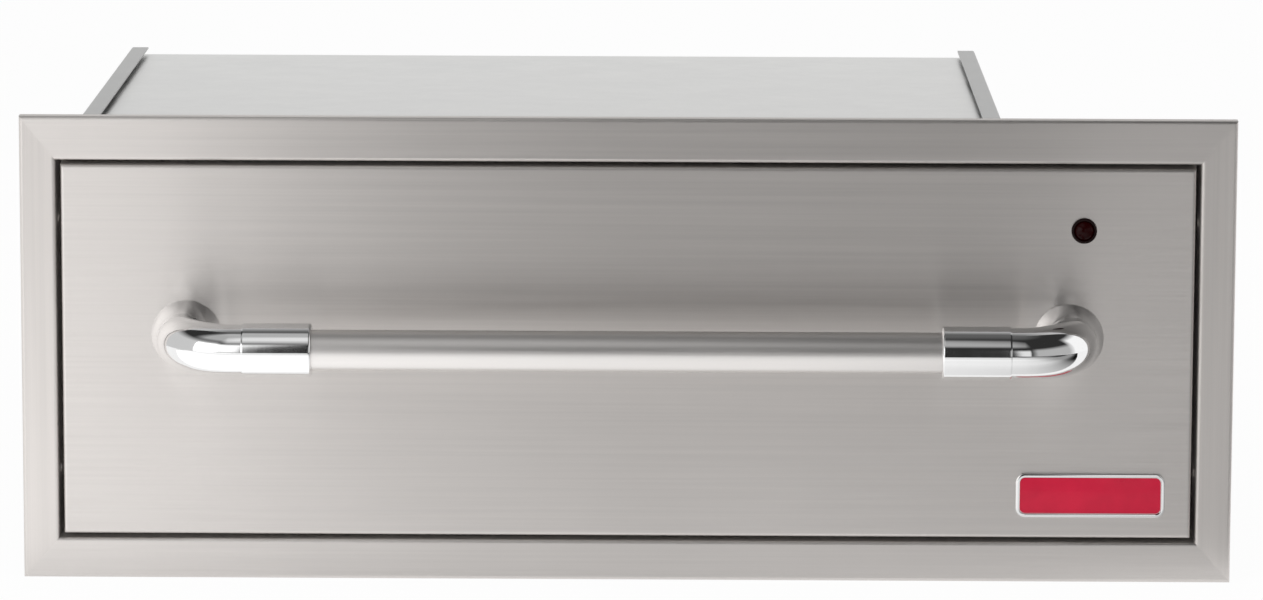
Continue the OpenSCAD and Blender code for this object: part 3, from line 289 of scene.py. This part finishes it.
STAINLESS = (0.75, 0.715, 0.69)
SATIN_STEEL = (0.6, 0.6, 0.59)
TRIM = {
    "x": brushed("trim_steel_horizontal", STAINLESS, "x", rough=0.34, aniso=0.95),
    "z": brushed("trim_steel_vertical", STAINLESS, "z", rough=0.5, aniso=0.2),
}
MATERIALS = {  # one for each slot, but the trim's
    "front_steel": brushed("front_steel_horizontal", STAINLESS, "x", rough=0.34, aniso=0.95),
    "handle_steel": brushed("handle_steel_along", (0.79, 0.766, 0.748), "x", rough=0.34,
                            aniso=0.5, contrast=0.02, clouds=0.02),
    "handle_chrome": polished("handle_chrome_polished", (0.90, 0.90, 0.90), rough=0.06),
    "housing_steel": satin("housing_steel_mill", (0.685, 0.685, 0.675), rough=0.42,
                           mottle=0.06, size=18, contrast=0.11),
    "plated_steel": plated("plated_steel_zinc", (0.43, 0.43, 0.425), rough=0.42),
    "liner_steel": brushed("liner_steel_satin", SATIN_STEEL, "x", rough=0.4, aniso=0.4),
    "drawer_steel": brushed("drawer_steel_satin", SATIN_STEEL, "y", rough=0.38, aniso=0.5),
    "pan_steel": brushed("pan_steel_satin", (0.64, 0.64, 0.63), "x", rough=0.34, aniso=0.4),
    "control_steel": brushed("control_steel_satin", SATIN_STEEL, "x", rough=0.36, aniso=0.5),
    "mineral_wool": wool("mineral_wool_fibres", (0.55, 0.47, 0.28)),
    "element_sheath": satin("element_sheath_heated", (0.16, 0.14, 0.13), rough=0.5,
                            mottle=0.08, size=60, contrast=0.25),
    "ceramic": moulded("ceramic_glazed", (0.80, 0.78, 0.72), rough=0.25, tooth=0.00001,
                       coat=0.5),
    "clip_steel": plated("clip_steel_zinc", (0.58, 0.59, 0.60)),
    "thermostat_case": moulded("thermostat_case_moulded", (0.62, 0.62, 0.60)),
    "copper": satin("copper_drawn", (0.70, 0.38, 0.25), rough=0.28, mottle=0.06, size=60,
                    contrast=0.12),
    "lamp_amber": moulded("lamp_amber_moulded", (0.75, 0.16, 0.04), rough=0.2, tooth=0.00001,
                          coat=0.6),
    "terminal_ivory": moulded("terminal_ivory_moulded", (0.72, 0.68, 0.56), rough=0.45),
    "black_nylon": moulded("black_nylon_moulded", (0.025, 0.025, 0.027), rough=0.42),
    "screw_zinc": plated("screw_zinc_bright", (0.60, 0.61, 0.63), rough=0.25,
                         crystal_scale=1500),
    "slide_zinc": plated("slide_zinc_bright", (0.60, 0.62, 0.64), rough=0.28,
                         crystal_scale=1200),
    "cage_plated": plated("cage_plated_yellow", (0.62, 0.50, 0.26), rough=0.3,
                          crystal_scale=1200),
    "lever_grey": moulded("lever_grey_moulded", (0.07, 0.07, 0.075), rough=0.45),
    "gasket_rubber": moulded("gasket_rubber_ribbed", (0.03, 0.03, 0.032), rough=0.65,
                             tooth=0.00008),
    "bezel_black": moulded("bezel_black_gloss", (0.008, 0.003, 0.003), rough=0.3,
                           tooth=0.000005, shine=0.12),
    "lens_red": moulded("lens_red_gloss", (0.012, 0.0006, 0.0008), rough=0.12,
                        tooth=0.000003, shine=0.1),
    "knob_black": moulded("knob_black_satin", (0.022, 0.022, 0.024), rough=0.35,
                          tooth=0.00002),
    "shaft_steel": satin("shaft_steel_turned", (0.56, 0.57, 0.58), rough=0.25, mottle=0.05,
                         size=200),
}

for part in frame["record"]["subparts"]:
    name, slot = part["node"], part["material_slot"]
    if slot == "trim_steel":
        material = TRIM["z" if name.endswith("stile") else "x"]
    else:
        material = MATERIALS[slot]
    nodes[name].data.materials.clear()
    nodes[name].data.materials.append(material)


# ---------- pieces ----------

def mesh_object(name, verts, faces, material):
    mesh = bpy.data.meshes.new(name)
    mesh.from_pydata(verts, [], faces)
    mesh.materials.append(material)
    made = bpy.data.objects.new(name, mesh)
    scene.collection.objects.link(made)
    return made


def piece(name, verts, faces, material, body, smooth_angle):
    """A mesh that rides on a body, smooth but at edges that turn by more than smooth_angle."""
    made = mesh_object(name, verts, faces, material)
    tidy = bmesh.new()
    tidy.from_mesh(made.data)
    bmesh.ops.recalc_face_normals(tidy, faces=tidy.faces)
    for edge in tidy.edges:
        edge.smooth = edge.calc_face_angle(math.pi) < math.radians(smooth_angle)
    for face in tidy.faces:
        face.smooth = True
    tidy.to_mesh(made.data)
    tidy.free()
    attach(made, body)
    return made


def loft(rings):
    """Quads between rings of equal length, then a cap on the first ring and one on the last."""
    n, last = len(rings[0]), len(rings) - 1
    faces = [(k*n + i, k*n + (i + 1) % n, (k + 1)*n + (i + 1) % n, (k + 1)*n + i)
             for k in range(last) for i in range(n)]
    faces += [tuple(range(n))[::-1], tuple(range(last*n, last*n + n))]
    return np.concatenate(rings).tolist(), faces


# the cast brackets: a sleeve round the tube's end, an elbow, and a leg that flares onto the
# drawer front
SLEEVE_R, SHOULDER_R, LEG_R, BELL_R, FOOT_R = 0.0165, 0.0157, 0.0165, 0.0220, 0.0190
SLEEVE_LEN, ELBOW_R, SWELL = 0.043, 0.033, 0.0006
FILLET = 0.0006
CHAMFER = 0.001               # on the sleeve's mouth
BORE_DEPTH, PLAY = 0.004, 0.0001   # the bore that shows round the tube
BELL_CROWD, BELL_POWER = 0.8, 2.2  # how the leg's rings crowd to its foot, and how it flares
ELBOW_RINGS, LEG_RINGS, AROUND = 40, 24, 72

tube_low, tube_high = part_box("handle_tube")
tube_y, tube_z = (tube_low.y + tube_high.y)/2, (tube_low.z + tube_high.z)/2
tube_r = (tube_high.z - tube_low.z)/2
bracket_low, bracket_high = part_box("handle_bracket_right")
face_y = bracket_high.y
sleeve_in = bracket_low.x
leg_x = bracket_high.x - FOOT_R


def bracket_stations():
    """(x, y, heading, radius) from the sleeve's mouth, along the elbow, to the foot."""
    sleeve_out = sleeve_in + SLEEVE_LEN
    bore = tube_r + PLAY
    bevel_x, bevel_r = sleeve_in + CHAMFER, SLEEVE_R - CHAMFER
    sleeve = [
        (sleeve_in + BORE_DEPTH, bore), (sleeve_in + FILLET, bore), (sleeve_in, bore + FILLET),
        (sleeve_in, bevel_r - FILLET/3), (sleeve_in + FILLET/4, bevel_r + FILLET/5),
        (bevel_x - FILLET/5, SLEEVE_R - FILLET/4), (bevel_x + FILLET/3, SLEEVE_R),
        (bevel_x + FILLET, SLEEVE_R), (sleeve_out - 2*FILLET, SLEEVE_R),
        (sleeve_out - FILLET, SLEEVE_R), (sleeve_out - FILLET/4, SLEEVE_R - FILLET/4),
        (sleeve_out, SLEEVE_R - FILLET), (sleeve_out, SHOULDER_R),
        (sleeve_out + FILLET/2, SHOULDER_R)]
    made = [(x, tube_y, 0, r) for x, r in sleeve]
    for i in range(1, ELBOW_RINGS + 1):
        a = math.pi/2*i/ELBOW_RINGS
        ease = (1 - math.cos(2*a))/2
        made.append((leg_x - ELBOW_R + ELBOW_R*math.sin(a),
                     tube_y + ELBOW_R - ELBOW_R*math.cos(a), a,
                     SHOULDER_R + (LEG_R - SHOULDER_R)*ease + SWELL*math.sin(2*a)**2))
    leg_start = tube_y + ELBOW_R
    for i in range(1, LEG_RINGS + 1):
        run = (i/LEG_RINGS)**BELL_CROWD
        made.append((leg_x, leg_start + (face_y - FILLET - leg_start)*run, math.pi/2,
                     LEG_R + (BELL_R - LEG_R)*run**BELL_POWER))
    made.append((leg_x, face_y, math.pi/2, BELL_R))
    return made


def bracket(name, side, node):
    """A bracket at the right (side 1) or left (side -1) end, in place of the CAD's."""
    angles = np.linspace(0, 2*math.pi, AROUND, endpoint=False)
    rings = []
    for x, y, heading, r in bracket_stations():
        ring = np.empty((AROUND, 3))
        ring[:, 0] = side*(x - r*np.cos(angles)*math.sin(heading))
        ring[:, 1] = y + r*np.cos(angles)*math.cos(heading)
        ring[:, 2] = tube_z + r*np.sin(angles)
        rings.append(ring)
    verts, faces = loft(rings)
    del faces[-2]  # the cap of the bore, which the tube fills
    made = piece(name, verts, faces, MATERIALS["handle_chrome"], "drawer",
                 smooth_angle=30)
    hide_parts(node)


bracket("bracket_left_cast", -1, "handle_bracket_left")
bracket("bracket_right_cast", 1, "handle_bracket_right")


# the badge's place holds a bare plate: a polished rim round a plain enamelled field
BADGE_X, BADGE_Z, BADGE_W, BADGE_H = 0.292, -0.091, 0.094, 0.028
BADGE_CORNER, LEAST_CORNER, CORNER_STEPS = 0.006, 0.0008, 10
RIM, RIM_H = 0.0024, 0.0020
FIELD, FIELD_H = RIM + 0.0002, 0.0013
enamel = moulded("badge_enamel", (0.56, 0.012, 0.045), rough=0.3, tooth=0.000005, coat=0.1,
                 shine=0.2)


def rounded_outline(width, height, radius):
    points = []
    for turn, (sx, sz) in enumerate(((1, 1), (-1, 1), (-1, -1), (1, -1))):
        for i in range(CORNER_STEPS + 1):
            a = math.pi/2*(turn + i/CORNER_STEPS)
            points.append((sx*(width/2 - radius) + radius*math.cos(a),
                           sz*(height/2 - radius) + radius*math.sin(a)))
    return np.array(points)


def plate(name, profile, material):
    """A bare plate on the drawer front, from a profile of (inset from the edge, height)."""
    rings = []
    for inset, height in profile:
        outline = rounded_outline(BADGE_W - 2*inset, BADGE_H - 2*inset,
                                  max(BADGE_CORNER - inset, LEAST_CORNER))
        ring = np.empty((len(outline), 3))
        ring[:, 0], ring[:, 2] = BADGE_X + outline[:, 0], BADGE_Z + outline[:, 1]
        ring[:, 1] = face_y - height
        rings.append(ring)
    verts, faces = loft(rings)
    piece(name, verts, faces, material, "drawer", smooth_angle=40)


plate("badge_rim", [(0, 0), (0, RIM_H*0.6), (0.0003, RIM_H*0.9), (0.0008, RIM_H),
                    (RIM - 0.0006, RIM_H), (RIM - 0.0002, RIM_H*0.93), (RIM, FIELD_H*0.7)],
      MATERIALS["handle_chrome"])
plate("badge_field", [(FIELD, 0.0008), (FIELD, FIELD_H*0.9), (FIELD + 0.0004, FIELD_H)],
      enamel)


# ---------- floor, light and what the steel mirrors ----------

AMBIENT = 0.55
world = bpy.data.worlds.new("studio")
scene.world = world
sky = Graph(world, "OutputWorld")
dim, full = (sky.add("Background", {"Color": (*WHITE, 1), "Strength": strength})
             for strength in (AMBIENT, 1.0))
sky.show(sky.mixed(sky.seen(), dim, full))


def studio_sheet(name, verts, faces, material):
    """A mesh of the studio, which isn't part of the object."""
    made = mesh_object(name, verts, faces, material)
    return made


# a pale floor that keeps the object's shadow and fades to the white background
FLOOR_REACH, FLOOR_DROP, FLOOR_TONE, FLOOR_WHITE = 30, 0.0002, 0.88, 0.96
floor_z = cad_box[0].z - FLOOR_DROP
ground = Graph(bpy.data.materials.new("floor"))
matt = ground.add("BsdfDiffuse", {"Color": (*tint(WHITE, FLOOR_TONE), 1)})
white = ground.add("Emission")
ground.show(ground.mixed(ground.math("MULTIPLY", ground.seen(), FLOOR_WHITE), matt, white))
studio_sheet("floor", [(x*FLOOR_REACH, y*FLOOR_REACH, floor_z)
                       for x, y in ((-1, -1), (1, -1), (1, 1), (-1, 1))],
             [(0, 1, 2, 3)], ground.owner)

# What the steel mirrors in front: soft-edged lights on a dark dome, on the ceiling behind it and
# on the floor below. Only mirrored rays meet them. Each light has the spans where it is at full
# strength, then the widths of its edges, then its level.
DOME_R, DOME_Y, DOME_STEP, DOME_DARK = 2.2, -0.05, 2, 0.03
DOME_SIDE, DOME_FOOT, DOME_TOP = 115, -8, 94
DOME_LIGHTS = (  # azimuth from straight ahead, then elevation, in degrees
    ((-60, -11.3), (2, 26), 1, 8, 1.25),     # softbox on the left
    ((-115, -34), (-4, 30), 8, 12, 0.6),     # white wall behind it
    ((-60, -14), (50, 76), 20, 12, 0.40),    # its light on the ceiling
    ((-18, 12), (40, 60), 12, 10, 0.40),     # grey wall above the camera
    ((12, 20), (-4, 16), 2, 8, 0.8),         # card on the right
    ((30, 76), (-4, 18), 8, 10, 0.45),       # grey wall beside it
    ((86, 115), (-8, 34), 10, 12, 1.0),      # white wall at the right
    ((-115, 115), (80, 94), 0, 14, 0.09),    # ceiling
)
CEILING_SIDE, CEILING_SIDE_STEP, CEILING_BACK, CEILING_DARK = 90, 5, 140, 0.12
CEILING_RISE = 1.02  # a little outside the dome
CEILING_LIGHTS = (((-90, 90), (120, 140), 0, 20, 0.42),)  # it pales towards the back
SWEEP_XS, SWEEP_YS = [x/10 for x in range(-18, 19)], [y/20 for y in range(1, 47)]
SWEEP_LIFT = 0.002   # of the lit sheet over the floor
FLOOR_LIGHTS = (  # x, then distance in front, in metres
    ((-1.4, 0.12), (0.05, 0.42), 0.5, 0.2, 1.03),    # near sweep
    ((0.4, 1.4), (0.25, 0.45), 0.3, 0.12, 0.32),     # its duller right
    ((-1.4, -0.28), (0.05, 0.5), 0.3, 0.3, 0.24),    # its brighter left
    ((-1.8, 0.10), (0.60, 0.95), 1.0, 0.2, 0.97),    # middle sweep
    ((-1.8, -0.42), (1.15, 2.3), 0.35, 0.2, 1.15),   # pool of light on the left
    ((0.6, 1.8), (1.15, 2.3), 0.35, 0.2, 0.2),       # and on the right
)
NO_EDGE = 1e-6


def window(value, span, edge):
    """1 inside the span, falling to 0 over its edge."""
    return max(0.0, 1 - max(span[0] - value, value - span[1], 0)/max(edge, NO_EDGE))


def lit_sheet(name, us, vs, place, lights, dark):
    """A sheet of points place(u, v) whose glow is the sum of its lights, for mirrored rays."""
    verts = [place(u, v) for v in vs for u in us]
    levels = [dark + sum(level*window(u, u_span, u_edge)*window(v, v_span, v_edge)
                         for u_span, v_span, u_edge, v_edge, level in lights)
              for v in vs for u in us]
    n = len(us)
    faces = [(j*n + i, j*n + i + 1, (j + 1)*n + i + 1, (j + 1)*n + i)
             for j in range(len(vs) - 1) for i in range(n - 1)]
    glow = Graph(bpy.data.materials.new(name))
    stored = glow.add("Attribute", attribute_name="level")
    made = studio_sheet(name, verts, faces,
                        glow.show(glow.add("Emission", {"Strength": stored.outputs["Fac"]})))
    made.data.attributes.new("level", "FLOAT", "POINT").data.foreach_set("value", levels)
    made.visible_camera = made.visible_diffuse = False
    made.visible_shadow = made.visible_transmission = False


def on_dome(azimuth, elevation):
    a, e = math.radians(azimuth), math.radians(elevation)
    return (DOME_R*math.sin(a)*math.cos(e), DOME_Y - DOME_R*math.cos(a)*math.cos(e),
            DOME_R*math.sin(e))


lit_sheet("studio_dome", range(-DOME_SIDE, DOME_SIDE + 1),
          range(DOME_FOOT, DOME_TOP + 1, DOME_STEP), on_dome, DOME_LIGHTS, DOME_DARK)
lit_sheet("studio_ceiling", range(-CEILING_SIDE, CEILING_SIDE + 1, CEILING_SIDE_STEP),
          range(DOME_TOP, CEILING_BACK + 1, DOME_STEP),
          lambda azimuth, elevation: tuple(CEILING_RISE*v for v in on_dome(azimuth, elevation)),
          CEILING_LIGHTS, CEILING_DARK)
lit_sheet("studio_floor", SWEEP_XS, SWEEP_YS, lambda x, y: (x, -y, floor_z + SWEEP_LIFT),
          FLOOR_LIGHTS, 0)


def softbox(name, centre, size, power):
    """A soft light that faces the object's middle and isn't mirrored."""
    data = bpy.data.lights.new(name, "AREA")
    data.shape = "RECTANGLE"
    data.size, data.size_y = size
    data.energy = power
    made = bpy.data.objects.new(name, data)
    made.location = centre
    made.rotation_mode = "QUATERNION"
    made.rotation_quaternion = (-Vector(centre)).to_track_quat("-Z", "Y")
    made.visible_glossy = False
    scene.collection.objects.link(made)


softbox("key", centre=(-2.2, -2.6, 2.2), size=(1.8, 1.4), power=60)
softbox("fill", centre=(2.4, -2.2, 1.2), size=(0.8, 1.4), power=20)
